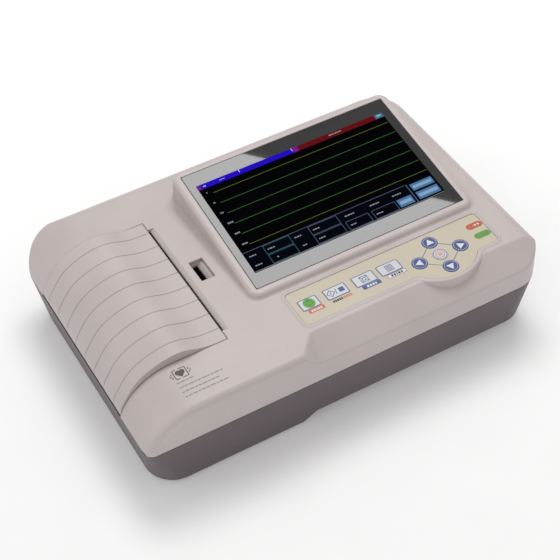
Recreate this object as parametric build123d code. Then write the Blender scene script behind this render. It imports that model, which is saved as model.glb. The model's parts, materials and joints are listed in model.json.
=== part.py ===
from build123d import *
from math import atan2, cos, degrees, hypot, pi, radians, sin
import os

os.makedirs("parts", exist_ok=True)

# A portable electrocardiograph with a lidded paper printer at its left end.
# Millimetres. X runs to the right, Y to the back, Z up. The origin is at the
# middle of the footprint, on the surface that the rubber feet stand on.

# ---- casing ----
body_length = 310.0       # left end to right end
body_depth = 208.0        # front to back
foot_lift = 2.0           # the deep part of the base stands this far up on its feet
split_height = 46.0       # where the two shells meet
deck_height = 75.0        # flat top round the printer
wall = 2.5
corner_radius = 22.0      # back left and front right plan corners
back_right_radius = 26.0
sharp_corner_radius = 6.5  # the front left plan corner
end_curve_radius = 42.0   # the top curves down over the left end
edge_round = 4.8          # top edges of the casing at the front and the left
far_round = 10.0          # and at the right and the back
base_taper_x = 7.0        # the base narrows by this at each end
base_taper_y = 5.5        # and by this at front and back
step_rise = 8.0           # the base is this much shallower right of the paper bay
step_x = -40.5            # right end of the deep part, at its floor
step_run = 12.0           # length of the slope between the two floors

# ---- screen, on a plane that tips towards the user ----
screen_tilt = 8.3
screen_x = 44.5           # middle of the display
screen_y = 16.1
screen_z = 87.5
glass_width = 166.6
glass_height = 110.2
glass_shift = 0.6         # the glass reaches a little further right than left
glass_thickness = 1.8
bezel_border = 6.3        # rim and rounded shoulder round the glass
bezel_round = 3.4
foot_round = 2.5          # hollow round the foot of the surround
bezel_corner = 8.0
display_width = 154.08    # lit area of a 7 inch panel
display_height = 85.92
module_width = 165.0
module_height = 100.0
module_thickness = 5.7

# ---- keypad, level with the deck ----
film_left = -24.3
film_right = 129.3
film_back = -49.7
film_front = -80.8
film_corner = 3.0
film_thickness = 0.5
film_rise = 0.1           # film face over the deck
film_gap = 0.15           # round the film in its recess
lip_width = 3.0           # raised border round the film
lip_rise = 0.5
lip_round = 1.6
lip_drop = 11.0           # the border's wall reaches this far down over the front slope
pad_x = 86.8              # middle of the arrow keys
pad_y = -71.3
pad_step_x = 16.7         # from the middle key to the keys beside it
pad_step_y = 13.1         # and to the keys behind and in front of it
pad_bulge = 24.2          # half width of the bulge of the film round them
pad_bulge_depth = 12.4
facet_y = -86.3           # the front slope starts here, level with the deck
facet_angle = 35.5
facet_round = 2.5
ridge_points = [(-25.8, -87.0, 75.0), (-40.3, -103.3, 75.0), (-30.3, -103.0, 64.3)]

# ---- printer ----
cover_width = 126.0
cover_edge_x = -74.3      # right edge of the cover, at the paper slot
cover_wall = 2.2
cover_gap = 0.4
cover_tip = (-154.4, 46.5)  # lowest point of the cover's outer edge, beside the hinge
hinge_x = -151.6
hinge_z = 48.9
hinge_barrel = 2.6
hinge_rod_radius = 1.0
running_fit = 0.05
band_count = 7            # full bands between the grooves of the cover
band_width = 14.9
groove_width = 0.5
groove_depth = 0.25
slot_length = 110.4
slot_width = 2.0
slot_slope = 3.1          # the deck slopes down to the slot over this width
paper_width = 110.0
bay_left = -145.0
bay_right = -82.0
bay_wall = 1.8
bay_top = 55.5
spindle_x = -113.5
spindle_z = 32.0
spindle_radius = 6.0
journal_radius = 3.0
platen_x = -83.5
platen_z = 62.5
platen_radius = 6.0
platen_shaft_radius = 2.5
bushing_radius = 4.0
ear_inner = 57.5          # the cover's bearing ears
ear_outer = 59.5
gear_module = 0.8
gear_width = 2.4
gear_y = 61.0             # middle of the gear train
platen_teeth = 16
idler_teeth = 24
pinion_teeth = 12
mesh_slack = 0.2
motor_radius = 12.5
motor_length = 20.0
head_gap = 0.3
head_bottom = 54.0
head_top = 69.0

# ---- latch ----
latch_left = -64.2
latch_right = -54.0
latch_front = -8.5
latch_back = 11.5
latch_travel = 3.5
latch_gap = 0.3

# ---- keys ----
key_gap = 0.2
key_travel = 0.4
key_stand = 0.25          # a key's face over the film
key_pocket = 1.5          # depth of its pocket under the deck
round_key_radius = 5.3

plane_tilt = radians(screen_tilt)
tilted = Plane(
    origin=(screen_x, screen_y, screen_z),
    x_dir=(1, 0, 0),
    z_dir=(0, -sin(plane_tilt), cos(plane_tilt)),
)
# The end curve runs level into the deck and meets the split at the end wall.
end_curve_drop = end_curve_radius - (deck_height - split_height)
end_curve_x = -body_length / 2 + (end_curve_radius**2 - end_curve_drop**2) ** 0.5
inner_top = deck_height - wall


def save(node, shape):
    shape.label = node
    export_step(shape, f"parts/{node}.step")


def block(x, y, z):
    """A box between two X, two Y and two Z values."""
    size = (x[1] - x[0], y[1] - y[0], z[1] - z[0])
    middle = ((x[0] + x[1]) / 2, (y[0] + y[1]) / 2, (z[0] + z[1]) / 2)
    return Pos(*middle) * Box(*size)


def rod_y(x, z, radius, y_from, y_to):
    """A round bar along Y."""
    middle = Pos(x, (y_from + y_to) / 2, z)
    return middle * Rot(90, 0, 0) * Cylinder(radius, abs(y_to - y_from))


def rod_x(y, z, radius, x_from, x_to):
    """A round bar along X."""
    middle = Pos((x_from + x_to) / 2, y, z)
    return middle * Rot(0, 90, 0) * Cylinder(radius, abs(x_to - x_from))


def rod_z(x, y, radius, z_from, z_to):
    """A round bar along Z."""
    return Pos(x, y, (z_from + z_to) / 2) * Cylinder(radius, abs(z_to - z_from))


def prism_y(points, y_from, y_to):
    """A flat outline in X and Z, drawn out along Y."""
    face = make_face(Polyline(*[(x, y_from, z) for x, z in points], close=True))
    return extrude(face, amount=y_to - y_from, dir=(0, 1, 0))


def tilted_box(x, y, z):
    """A box on the screen's own axes."""
    return tilted.location * block(x, y, z)


def outline(inset_x, inset_y, skin, front_left):
    """The casing's plan outline; each corner's round is thinner inside a skin."""
    sheet = Rectangle(body_length - 2 * inset_x, body_depth - 2 * inset_y)
    rounds = ((1, 1, back_right_radius), (1, -1, corner_radius),
              (-1, 1, corner_radius), (-1, -1, front_left))
    for side_x, side_y, radius in rounds:
        corner = sheet.vertices().sort_by(lambda v: side_x * v.X + side_y * v.Y)[-1]
        sheet = fillet(corner, radius - skin)
    return sheet


# ---- casing shells ----
def hood(skin):
    """The upper body, or its hollow when a skin is given."""
    floor_z = split_height - (1.0 if skin else 0.0)
    top = deck_height - skin
    plan = outline(skin, skin, skin, sharp_corner_radius)
    body = extrude(Pos(0, 0, floor_z) * plan, top - floor_z)
    centre_z = deck_height - end_curve_radius
    radius = end_curve_radius - skin
    left = end_curve_x - radius
    cap = rod_y(end_curve_x, centre_z, radius, -body_depth, body_depth)
    rest = block((end_curve_x, body_length), (-body_depth, body_depth), (0, top))
    body = body & (cap + rest)
    if not skin:
        # The top edges are rounded before anything is cut into them.
        rim = body.edges().filter_by(lambda e: e.center().Z > split_height + 1)
        upright = [e for e in rim if abs(e.tangent_at(0.5).Z) > 0.99]
        crease = [e for e in rim if abs(e.tangent_at(0.5).Y) > 0.99
                  and abs(e.center().Y) < 1.0 and e.center().X < 0]
        skip = upright + crease
        chain = [e for e in rim if e not in skip]
        body = fillet(chain, edge_round)
    # The right and the back edges are rounder than the rest, in the hollow too.
    spare = Pos(-body_length / 2, -body_depth / 2) * Rectangle(
        2 * (body_length - skin), 2 * (body_depth - skin))
    corner = spare.vertices().sort_by(lambda v: v.X + v.Y)[-1]
    spare = fillet(corner, back_right_radius - skin)
    softer = extrude(Pos(0, 0, floor_z) * spare, top - floor_z)
    rim = softer.faces().sort_by(Axis.Z)[-1].edges()
    far = [e for e in rim if e.center().X > -body_length / 2
           and e.center().Y > -body_depth]
    return body & fillet(far, far_round - skin)


def front_facet(skin):
    """What the front slope takes off the upper body."""
    slope = radians(facet_angle)
    face = Plane(
        origin=(0, facet_y + skin * sin(slope), deck_height - skin * cos(slope)),
        x_dir=(1, 0, 0),
        z_dir=(0, -sin(slope), cos(slope)),
    )
    cutter = extrude(face * Rectangle(2 * body_length, body_depth), 60)
    corner, low, foot = [Vector(*p) for p in ridge_points]
    across = (low - corner).cross(foot - corner).normalized()
    if across.X < 0:
        across = across * -1
    side = Plane(origin=corner - across * skin, x_dir=low - corner, z_dir=across)
    return split(cutter, bisect_by=side, keep=Keep.TOP)


on_deck = Pos(0, 0, deck_height)


def film_outline(grow, level):
    """The keypad's outline with its bulge, at a level over the deck."""
    low = film_front - grow
    half = pad_bulge + grow
    bottom = low - pad_bulge_depth
    edge = Polyline(
        (pad_x - half, low),
        (film_left - grow, low),
        (film_left - grow, film_back + grow),
        (film_right + grow, film_back + grow),
        (film_right + grow, low),
        (pad_x + half, low),
    )
    bulge = ThreePointArc((pad_x + half, low), (pad_x, bottom), (pad_x - half, low))
    sheet = make_face(edge + bulge)
    sheet = fillet(sheet.vertices(), film_corner + max(grow, 0))
    return on_deck * Pos(0, 0, level) * sheet


def lip(skin):
    """The raised bed under the keypad film, or its hollow."""
    bed = extrude(film_outline(lip_width - skin, lip_rise - skin), skin - lip_drop)
    if not skin:
        bed = fillet(bed.faces().sort_by(Axis.Z)[-1].edges(), lip_round)
    return bed


def bezel(skin):
    """The raised screen surround, or its hollow."""
    sheet = RectangleRounded(
        glass_width + 2 * (bezel_border - skin),
        glass_height + 2 * (bezel_border - skin),
        bezel_corner - skin,
    )
    top = -(glass_thickness + wall) if skin else 0.0
    body = extrude(Pos(glass_shift, 0, top) * sheet, -(26.0 + top))
    if not skin:
        body = fillet(body.faces().sort_by(Axis.Z)[-1].edges(), bezel_round)
    return tilted.location * body


def soften_slope(body):
    """Rounds the front slope where it leaves the deck and where it meets the front."""
    front = -body_depth / 2
    crest = [e for e in body.edges() if abs(e.center().Z - deck_height) < 0.1
             and front + edge_round + 1 < e.center().Y < facet_y + 1]
    foot = [e for e in body.edges().filter_by(Axis.X) if abs(e.center().Y - front) < 0.1
            and e.center().X > 0 and e.center().Z > split_height + 1]
    return fillet(crest + foot, facet_round)


def soften_bezel_foot(body):
    """Runs a soft hollow round the foot of the screen surround."""
    reach_x = glass_width / 2 + bezel_border + 1
    reach_y = glass_height / 2 + bezel_border
    foot = []
    for edge in body.edges():
        bounds = edge.bounding_box()
        level = bounds.max.Z - bounds.min.Z < 0.1 and abs(bounds.min.Z - deck_height) < 0.1
        across = abs(edge.center().X - screen_x - glass_shift) < reach_x
        if level and across and -reach_y < edge.center().Y - screen_y < reach_y + 4:
            foot.append(edge)
    return fillet(foot, foot_round)


def upper_body(skin):
    """The upper body with its keypad bed and screen surround, or its hollow."""
    body = hood(skin) - front_facet(skin)
    if not skin:
        body = soften_slope(body)
    keep = block((-body_length, body_length), (-body_depth, body_depth),
                 (split_height, 2 * deck_height))
    body = body + ((lip(skin) + bezel(skin)) & keep)
    return body if skin else soften_bezel_foot(body)


cover_half = cover_width / 2
opening_half = cover_half + cover_gap
slot_edge_x = cover_edge_x + slot_width
boss_places = [(-128, -88), (-128, 88), (0, -94), (10, 94), (132, -86), (132, 88)]
boss_radius = 4.0
screw_radius = 1.5


def make_top_shell():
    shell = upper_body(0.0) - upper_body(wall)
    # Cheeks close the ends of the printer bay and carry the hinge rod.
    for side in (-1, 1):
        span = sorted((side * opening_half, side * (opening_half + wall)))
        cheek = block((-body_length, cover_edge_x + 8), span, (split_height, deck_height))
        shell = shell + (cheek & hood(0.0))
    shell = shell - block((-body_length, cover_edge_x + cover_gap),
                          (-opening_half, opening_half), (0, 2 * deck_height))
    shell = shell - block((cover_edge_x - 1, slot_edge_x),
                          (-slot_length / 2, slot_length / 2), (60, 80))
    tear_edge = inner_top + 0.4
    slope = [(slot_edge_x - 1, deck_height + 1), (slot_edge_x - 1, tear_edge),
             (slot_edge_x, tear_edge), (slot_edge_x + slot_slope, deck_height),
             (slot_edge_x + slot_slope, deck_height + 1)]
    shell = shell - prism_y(slope, -slot_length / 2, slot_length / 2)
    shell = shell - rod_y(hinge_x, hinge_z, hinge_rod_radius,
                          -opening_half - 2 * wall, opening_half + 2 * wall)
    # Finger recess of the cover latch.
    shell = shell - block((latch_left, latch_right), (latch_front, latch_back), (60, 80))
    # Screen opening: a pocket for the glass and a window for the display.
    shell = shell - tilted_box(
        (glass_shift - glass_width / 2 - 0.2, glass_shift + glass_width / 2 + 0.2),
        (-glass_height / 2 - 0.2, glass_height / 2 + 0.2),
        (-glass_thickness, 5))
    shell = shell - tilted_box(
        (-display_width / 2 - 1, display_width / 2 + 1),
        (-display_height / 2 - 1, display_height / 2 + 1), (-8, 5))
    # Keypad: a recess for the film, a pocket and a hole for each key.
    shell = shell - extrude(film_outline(film_gap, film_rise - film_thickness), 5)
    for key in keys:
        shell = shell - key_shape(key, key_gap, -key_pocket, 3.0)
        shell = shell - key_stem(key, 0.4, -8.0, 0.0)
    for lens in lenses:
        shell = shell - lens_shape(lens, 0.1, -8.0, 3.0)
    # Bosses: the case screws, the display bracket, the keypad board, the latch.
    for x, y in boss_places:
        boss = rod_z(x, y, boss_radius, split_height, deck_height - 1)
        hole = rod_z(x, y, screw_radius, split_height - 1, split_height + 14)
        shell = shell + (boss & upper_body(0.5)) - hole
    for x, y in bracket_screws:
        boss = tilted.location * rod_z(x, y, 2.0, bracket_level, -glass_thickness - 1)
        hole = tilted.location * rod_z(x, y, 0.9, bracket_level - 1, bracket_level + 4)
        shell = shell + boss - hole
    for x, y in board_screws:
        boss = on_deck * rod_z(x, y, 2.4, keypad_level, -2.0)
        hole = on_deck * rod_z(x, y, 0.9, keypad_level - 1, keypad_level + 1.4)
        shell = shell + boss - hole
    for y in latch_posts:
        post = rod_z(latch_bar_x, y, 1.5, latch_bar_bottom - latch_gap, inner_top + 0.5)
        hole = rod_z(latch_bar_x, y, 0.8, latch_bar_bottom - 1, inner_top - 0.5)
        shell = shell + post - hole
    stop = block((spring_right, spring_right + 1.6), (spring_y - 4, spring_y + 4),
                 (latch_bar_bottom - 1, inner_top + 0.5))
    return shell + stop


# ---- keypad ----
key_row_y = -64.1
key_row_depth = 9.9
keys = {
    "power_key": (-12.9, key_row_y, 13.9, key_row_depth),
    "start_key": (7.9, key_row_y, 16.8, key_row_depth),
    "mode_key": (30.1, key_row_y, 16.4, key_row_depth),
    "print_key": (50.1, key_row_y, 16.6, key_row_depth),
    "up_key": (pad_x, pad_y + pad_step_y, 0, 0),
    "down_key": (pad_x, pad_y - pad_step_y, 0, 0),
    "left_key": (pad_x - pad_step_x, pad_y, 0, 0),
    "right_key": (pad_x + pad_step_x, pad_y, 0, 0),
    "enter_key": (pad_x, pad_y, 0, 0),
}
lenses = [(122.8, -60.0), (122.8, -70.2)]
lens_length = 12.4
lens_width = 5.2
stem_radius = 1.5
keypad_level = -4.9       # top of the keypad board under the deck
keypad_board_thickness = 1.6
dome_height = 0.5
board_screws = [(-21.3, -54.0), (19.0, -75.9), (59.0, -75.5), (108.5, -54.5)]
bracket_level = -(glass_thickness + wall + module_thickness)
bracket_thickness = 1.0
bracket_screw_x = 84.6
bracket_screws = [(glass_shift + sx * bracket_screw_x, sy * 40.0)
                  for sx in (-1, 1) for sy in (-1, 1)]


def key_shape(key, grow, low, high):
    """A key's face outline between two levels."""
    x, y, width, height = keys[key]
    if width:
        sheet = RectangleRounded(width + 2 * grow, height + 2 * grow, 1.0 + grow)
    else:
        sheet = Circle(round_key_radius + grow)
    return on_deck * extrude(Pos(x, y, low) * sheet, high - low)


def key_stem(key, grow, low, high):
    x, y = keys[key][:2]
    return on_deck * rod_z(x, y, stem_radius + grow, low, high)


def lens_shape(place, grow, low, high):
    sheet = RectangleRounded(lens_length + 2 * grow, lens_width + 2 * grow,
                             lens_width / 2 + grow - 0.01)
    return on_deck * extrude(Pos(place[0], place[1], low) * sheet, high - low)


def make_film():
    film = extrude(film_outline(0.0, film_rise - film_thickness), film_thickness)
    for key in keys:
        film = film - key_shape(key, key_gap, -4, 3)
    for lens in lenses:
        film = film - lens_shape(lens, 0.1, -4, 3)
    return film


def make_key(key):
    face = film_rise + key_stand
    cap = key_shape(key, 0.0, face - 1.2, face)
    stem = key_stem(key, 0.0, keypad_level + dome_height + key_travel + 0.1, face - 0.6)
    return cap + stem


def make_keypad_board():
    bottom = keypad_level - keypad_board_thickness
    board = block((film_left + 1.5, film_right - 1.5), (film_front + 2, film_back - 2),
                  (bottom, keypad_level))
    board = board + rod_z(pad_x, pad_y - 2, 15.5, bottom, keypad_level)
    for x, y in board_screws:
        board = board - rod_z(x, y, 1.1, bottom - 1, keypad_level + 1)
    return on_deck * board


def make_domes():
    domes = []
    for x, y, *_ in keys.values():
        dome = Pos(x, y, keypad_level) * Cone(
            3.0, 1.8, dome_height, align=(Align.CENTER, Align.CENTER, Align.MIN))
        domes.append(on_deck * dome)
    return Compound(children=domes)


def screws(places, frame, radius, head_radius, head_height, seat, length):
    """Screws with hollow hexagon heads, driven upwards into their bosses."""
    made = []
    for x, y in places:
        shank = rod_z(x, y, radius, seat, seat + length)
        head = rod_z(x, y, head_radius, seat - head_height, seat)
        socket = Pos(x, y, seat - head_height) * extrude(
            RegularPolygon(head_radius * 0.55, 6), head_height * 0.6)
        made.append(frame * (shank + head - socket))
    return Compound(children=made)


# ---- display ----
def make_glass():
    sheet = RectangleRounded(glass_width, glass_height, 1.2)
    pane = extrude(Pos(glass_shift, 0, -glass_thickness) * sheet, glass_thickness)
    pane = chamfer(pane.faces().sort_by(Axis.Z)[-1].edges(), 0.3)
    return tilted.location * pane


def make_display():
    seat = -(glass_thickness + wall)
    return tilted_box((glass_shift - module_width / 2, glass_shift + module_width / 2),
                      (-module_height / 2, module_height / 2),
                      (bracket_level, seat))


def make_bracket():
    half = bracket_screw_x + 2.0
    plate = tilted_box((glass_shift - half, glass_shift + half), (-46, 46),
                       (bracket_level - bracket_thickness, bracket_level))
    for sx in (-1, 1):
        middle = glass_shift + sx * 40
        plate = plate - tilted_box((middle - 28, middle + 28), (-32, 32),
                                   (bracket_level - 3, bracket_level + 1))
    for x, y in bracket_screws:
        plate = plate - tilted.location * rod_z(x, y, 0.9, bracket_level - 3, bracket_level + 1)
    return plate


# ---- base ----
seam_height = 0.5
seam_depth = 0.8
floor_low = foot_lift
floor_high = foot_lift + step_rise
foot_places = [(-128, -78), (-128, 78), (126, -74), (126, 74)]
foot_radius = 7.0
battery_x = (22.0, 98.0)
battery_y = (-60.0, -18.0)
battery_height = 20.0
battery_gap = 0.4
battery_ear = 6.6         # the cover reaches this far past the pack at its screws
battery_side = 3.0
battery_screw_reach = 3.6
panel_thickness = 2.0
rear_panel_x = (30.0, 124.0)
rear_panel_z = (16.0, 42.0)
side_panel_y = (-52.0, 8.0)
side_panel_z = (17.0, 41.0)
rear_panel_y = body_depth / 2 - base_taper_y - 6.0
side_panel_x = body_length / 2 - base_taper_x - 6.0


def base_body(skin):
    """The tapering lower body, or its hollow."""
    low = floor_low + skin
    high = split_height + (1.0 if skin else 0.0)
    slope_x = base_taper_x / (split_height - floor_low)
    slope_y = base_taper_y / (split_height - floor_low)

    def section(z):
        drop = split_height - z
        share = max(drop, 0) / (split_height - floor_low)
        front_left = sharp_corner_radius + share * (corner_radius - sharp_corner_radius)
        return Pos(0, 0, z) * outline(
            drop * slope_x + skin, drop * slope_y + skin, skin, front_left)

    body = loft([section(low), section(high)], ruled=True)
    lift = skin
    step = [(step_x, floor_low - 5 + lift), (step_x, floor_low + lift),
            (step_x + step_run, floor_high + lift), (body_length, floor_high + lift),
            (body_length, floor_low - 5 + lift)]
    return body - prism_y(step, -body_depth, body_depth)


def make_bottom_shell():
    outer = base_body(0.0)
    rim = outer.faces().filter_by(lambda f: abs(f.center().Z - floor_low) < 0.01)
    outer = fillet(rim.edges().filter_by(lambda e: e.center().X < step_x - 1), 2.0)
    shell = outer - base_body(wall)
    # A shadow line runs round the seam between the shells, but not under the cover.
    rim_band = block((-body_length, body_length), (-body_depth, body_depth),
                     (split_height - seam_height, split_height + 1))
    under_cover = block((-body_length, hinge_x), (-opening_half, opening_half),
                        (split_height - 5, split_height + 5))
    shell = shell - (rim_band - base_body(seam_depth) - under_cover)
    # The cover's outer edge swings through this hollow.
    swing = hypot(cover_tip[0] - hinge_x, cover_tip[1] - hinge_z) + cover_gap
    shell = shell - rod_y(hinge_x, hinge_z, swing, -opening_half, opening_half)
    # Frames that carry the two connector panels.
    frame_y = block((rear_panel_x[0] - wall, rear_panel_x[1] + wall),
                    (rear_panel_y - panel_thickness - 2, body_depth / 2),
                    (rear_panel_z[0] - wall, rear_panel_z[1] + wall))
    frame_x = block((side_panel_x - panel_thickness - 2, body_length / 2),
                    (side_panel_y[0] - wall, side_panel_y[1] + wall),
                    (side_panel_z[0] - wall, side_panel_z[1] + wall))
    shell = shell + (frame_y & base_body(0.0)) + (frame_x & base_body(0.0))
    shell = shell - block(rear_panel_x, (rear_panel_y - 30, body_depth), rear_panel_z)
    shell = shell - block((side_panel_x - 30, body_length), side_panel_y, side_panel_z)
    # Battery opening with a ledge for its cover.
    shell = shell - block((battery_x[0] - battery_ear, battery_x[1] + battery_ear),
                          (battery_y[0] - battery_side, battery_y[1] + battery_side),
                          (0, floor_high + 1.5))
    shell = shell - block((battery_x[0] - 0.5, battery_x[1] + 0.5),
                          (battery_y[0] - 0.5, battery_y[1] + 0.5), (0, floor_high + wall + 1))
    for x, y in battery_screw_places:
        post = rod_z(x, y, 2.6, floor_high + 1.5, floor_high + 9)
        hole = rod_z(x, y, 0.9, floor_high, floor_high + 7)
        shell = shell + post - hole
    # Screw towers, foot pads and a grille under the speaker.
    for x, y in boss_places:
        low = base_floor(x)
        tower = rod_z(x, y, boss_radius, low + 1, split_height)
        bore = rod_z(x, y, screw_radius + 0.15, low - 1, split_height + 1)
        sink = rod_z(x, y, 3.0, low - 1, low + 4)
        shell = shell + tower - bore - sink
    for x, y in foot_places:
        if base_floor(x) > floor_low + 1:
            pad = Pos(x, y, floor_low + 1.0) * Cone(
                foot_radius + 1.5, foot_radius + 3.0, step_rise,
                align=(Align.CENTER, Align.CENTER, Align.MIN))
            shell = shell + pad
        shell = shell - rod_z(x, y, foot_radius, -1, foot_seat(x))
    for row in range(7):
        y = speaker_y - 12 + 4 * row
        shell = shell - block((speaker_x - 12, speaker_x + 12), (y - 0.9, y + 0.9),
                              (0, floor_high + wall + 1))
    for slot in range(9):
        x = -100 + 9 * slot
        shell = shell - block((x - 1.5, x + 1.5), (body_depth / 2 - 14, body_depth),
                              (20, 36))
    return shell


def base_floor(x):
    """Outside height of the base's floor at an X value."""
    return floor_low if x < step_x else floor_high


def foot_seat(x):
    """Height of the seat that a rubber foot is glued into."""
    return floor_low + (0.8 if x < step_x else 2.0)


battery_middle_y = (battery_y[0] + battery_y[1]) / 2
speaker_x = 118.0
speaker_y = 44.0


def make_feet():
    feet = []
    for x, y in foot_places:
        foot = rod_z(x, y, foot_radius, 0, foot_seat(x))
        feet.append(chamfer(foot.faces().sort_by(Axis.Z)[0].edges(), 0.6))
    return Compound(children=feet)


def make_battery():
    bottom = floor_high + wall + 0.5
    pack = block(battery_x, battery_y, (bottom, bottom + battery_height))
    pack = fillet(pack.edges().filter_by(Axis.X), 3.0)
    return pack


def make_battery_cover():
    ear = battery_ear - battery_gap
    side = battery_side - battery_gap
    lid = block((battery_x[0] - ear, battery_x[1] + ear),
                (battery_y[0] - side, battery_y[1] + side), (floor_high, floor_high + 1.5))
    pad = block((battery_x[0] + 2, battery_x[1] - 2), (battery_y[0] + 2, battery_y[1] - 2),
                (floor_high + 1.5, floor_high + wall + 0.5))
    lid = lid + pad
    for x, y in battery_screw_places:
        lid = lid - rod_z(x, y, 1.0, floor_high - 1, floor_high + 5)
        lid = lid - rod_z(x, y, 2.0, floor_high - 1, floor_high + 0.8)
    return lid


battery_screw_places = [(battery_x[0] - battery_screw_reach, battery_middle_y),
                        (battery_x[1] + battery_screw_reach, battery_middle_y)]

# ---- printer cover ----
cover_crest = [
    cover_tip, (-153.7, 51.2), (-149.2, 59.4), (-141.5, 69.6), (-131.5, 76.2), (-120.5, 80.0),
    (-111.0, 81.2), (-103.0, 80.1), (-96.3, 77.7), (-89.5, 75.8), (-82.0, 75.1),
    (cover_edge_x, 75.0),
]


def crest_curve(depth):
    """The cover's upper line, moved inwards by a depth."""
    moved = []
    last = len(cover_crest) - 1
    for i, (x, z) in enumerate(cover_crest):
        x0, z0 = cover_crest[max(i - 1, 0)]
        x1, z1 = cover_crest[min(i + 1, last)]
        run = hypot(x1 - x0, z1 - z0)
        moved.append((x + depth * (z1 - z0) / run, z - depth * (x1 - x0) / run))
    return moved


def crest_solid(depth, y_from, y_to, lower):
    """The space under the crest line, down to a lower line."""
    upper = Spline(*[(x, y_from, z) for x, z in crest_curve(depth)])
    down = Polyline(upper @ 1, *[(x, y_from, z) for x, z in lower], upper @ 0)
    return extrude(make_face(upper + down), amount=y_to - y_from, dir=(0, 1, 0))


def make_cover():
    skirt = [(cover_edge_x, 72.4), (-79.0, 70.6), (-128.0, 67.5), (-143.0, 57.5),
             (hinge_x, hinge_z)]
    cover = crest_solid(0.0, -cover_half, cover_half, skirt)
    hollow = [(cover_edge_x - 1.2, 30.0), (hinge_x + 1.8, 30.0)]
    cover = cover - crest_solid(cover_wall, -cover_half + 2, cover_half - 2, hollow)
    first = -band_width * band_count / 2
    for i in range(band_count + 1):
        y = first + band_width * i
        ring = crest_solid(0.0, y - groove_width / 2, y + groove_width / 2, hollow)
        core = crest_solid(groove_depth, y - groove_width, y + groove_width, hollow)
        cover = cover - (ring - core)
    cover = cover + rod_y(hinge_x, hinge_z, hinge_barrel, -cover_half, cover_half)
    # Ears for the platen's bushings.
    for side in (-1, 1):
        span = sorted((side * ear_inner, side * ear_outer))
        ear = block((platen_x - 5.5, platen_x + 5.5), span, (platen_z, 74.0))
        ear = ear + rod_y(platen_x, platen_z, 5.5, *span)
        web = sorted((side * ear_outer, side * (cover_half - 1)))
        ear = ear + block((platen_x - 5.5, platen_x + 5.5), web, (71.0, 74.0))
        cover = cover + ear - rod_y(platen_x, platen_z, bushing_radius, *span)
    cover = cover - rod_y(hinge_x, hinge_z, hinge_rod_radius + running_fit,
                          -cover_half - 1, cover_half + 1)
    return cover


# ---- gears ----
def gear(teeth, bore, turn):
    """A spur gear about Y at the origin, turned by an angle in degrees."""
    pitch = gear_module * teeth / 2
    root = pitch - 1.2 * gear_module
    tip = pitch + 0.9 * gear_module
    half = pi / teeth / 2
    flank = 0.42
    points = []
    for i in range(teeth):
        middle = 2 * pi * i / teeth + radians(turn)
        for radius, swing in ((root, -1.5), (pitch, -1 + flank / 4), (tip, -flank),
                              (tip, flank), (pitch, 1 - flank / 4), (root, 1.5)):
            angle = middle + swing * half
            points.append((radius * cos(angle), radius * sin(angle)))
    wheel = prism_y(points, -gear_width / 2, gear_width / 2)
    return wheel - rod_y(0, 0, bore, -gear_width, gear_width)


def step_to(x0, z0, reach, angle):
    return x0 + reach * cos(radians(angle)), z0 + reach * sin(radians(angle))


# The idler lies on the line that the platen leaves along when the cover lifts.
lift_x = platen_x - hinge_x
lift_z = platen_z - hinge_z
lift = hypot(lift_x, lift_z)
idler_reach = gear_module * (platen_teeth + idler_teeth) / 2 + mesh_slack
idler_x = platen_x + idler_reach * lift_z / lift
idler_z = platen_z - idler_reach * lift_x / lift
pinion_angle = -25.0
pinion_reach = gear_module * (idler_teeth + pinion_teeth) / 2 + mesh_slack
pinion_x, pinion_z = step_to(idler_x, idler_z, pinion_reach, pinion_angle)
idler_pin_radius = 2.0
motor_shaft_radius = 1.25


def direction(x0, z0, x1, z1):
    return degrees(atan2(z1 - z0, x1 - x0))


def mesh_turn(own_teeth, other_teeth, other_turn, heading):
    """Turn that meshes a gear with another one, on a heading from that one to it."""
    lag = (other_turn - heading) * other_teeth / own_teeth
    return heading + 180.0 - lag + 180.0 / own_teeth


platen_turn = direction(platen_x, platen_z, idler_x, idler_z)
idler_turn = mesh_turn(idler_teeth, platen_teeth, platen_turn, platen_turn)
pinion_turn = mesh_turn(pinion_teeth, idler_teeth, idler_turn, pinion_angle)


# ---- printer insides ----
chassis_x = -66.5
chassis_thickness = 1.5
chassis_half = 56.6
motor_face = ear_inner + 0.7
head_face = platen_x + platen_radius + head_gap
head_thickness = 1.2
sink_thickness = 6.5
bay_half = paper_width / 2 + 1.5


def make_bay():
    floor_z = floor_low + wall
    outer = block((bay_left, bay_right), (-bay_half - bay_wall, bay_half + bay_wall),
                  (floor_z, bay_top))
    inner = block((bay_left + bay_wall, bay_right - bay_wall), (-bay_half, bay_half),
                  (floor_z + bay_wall, bay_top + 1))
    bay = outer - inner
    journal = journal_radius + running_fit
    bay = bay - rod_y(spindle_x, spindle_z, journal, -bay_half - 5, bay_half + 5)
    bay = bay - block((spindle_x - journal, spindle_x + journal),
                      (-bay_half - 5, bay_half + 5), (spindle_z, bay_top + 1))
    return bay - rod_y(idler_x, idler_z, idler_pin_radius, bay_half - 1, bay_half + 5)


def make_spindle():
    bar = rod_y(spindle_x, spindle_z, spindle_radius, -bay_half + 0.5, bay_half - 0.5)
    bar = bar + rod_y(spindle_x, spindle_z, journal_radius, -bay_half - 3, bay_half + 3)
    for turn in range(3):
        angle = radians(120 * turn)
        rib = Pos(spindle_x + 6.2 * cos(angle), 0, spindle_z + 6.2 * sin(angle))
        bar = bar - rib * Rot(90, 0, 0) * Cylinder(1.4, 2 * bay_half)
    return bar


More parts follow.
